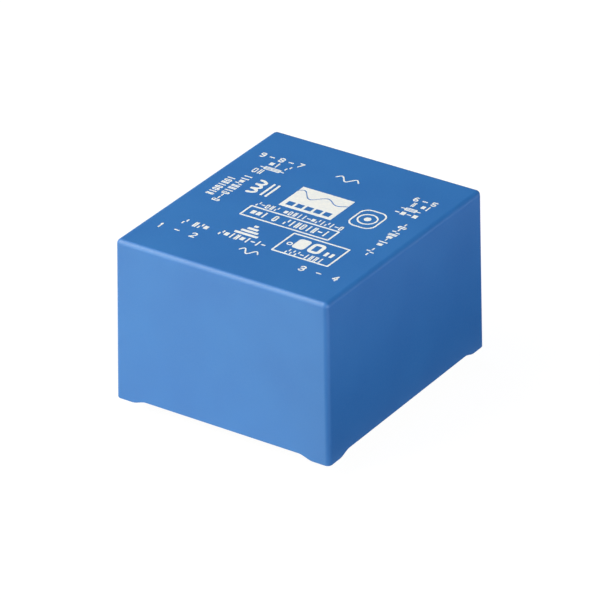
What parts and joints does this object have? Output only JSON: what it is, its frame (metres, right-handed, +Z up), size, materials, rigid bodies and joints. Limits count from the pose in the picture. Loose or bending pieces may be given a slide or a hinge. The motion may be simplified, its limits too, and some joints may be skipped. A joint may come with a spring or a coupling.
{
  "type": "encapsulated pcb transformer",
  "caption": "Flat potted mains transformer for a circuit board: drafted moulded cup with corner feet, wound bobbins on a lying U-I core, and rows of round pins.",
  "frame": {"origin": "centre of the terminal pattern, at the seating plane of the corner feet", "axes": "+Z up out of the board, +Y along the longer side towards the secondary terminals, +X along the shorter side"},
  "size_m": [0.0602, 0.068, 0.0461],
  "materials": {
    "cup_plastic": "fine-grained blue moulding",
    "resin": "cast, satin",
    "core_steel": "annealed laminations",
    "bobbin_plastic": "glass-filled moulding",
    "copper": "enamelled wire",
    "tape": "polyester film",
    "tinned_pin": "bright tin",
    "ink": "pad-printed white"
  },
  "bodies": {
    "root": {"housing": "cup_plastic", "potting_resin": "resin", "u_core": "core_steel", "i_core": "core_steel", "left_bobbin": "bobbin_plastic", "right_bobbin": "bobbin_plastic", "left_primary_winding": "copper", "right_primary_winding": "copper", "left_secondary_winding": "copper", "right_secondary_winding": "copper", "left_primary_tape": "tape", "right_primary_tape": "tape", "left_secondary_tape": "tape", "right_secondary_tape": "tape", "terminal_1": "tinned_pin", "terminal_2": "tinned_pin", "terminal_3": "tinned_pin", "terminal_4": "tinned_pin", "terminal_5": "tinned_pin", "terminal_6": "tinned_pin", "terminal_7": "tinned_pin", "terminal_8": "tinned_pin", "terminal_9": "tinned_pin", "lead_1": "copper", "lead_2": "copper", "lead_3": "copper", "lead_4": "copper", "lead_5": "copper", "lead_6": "copper", "lead_7": "copper", "lead_8": "copper", "lead_9": "copper", "top_print": "ink"}
  },
  "joints": []
}
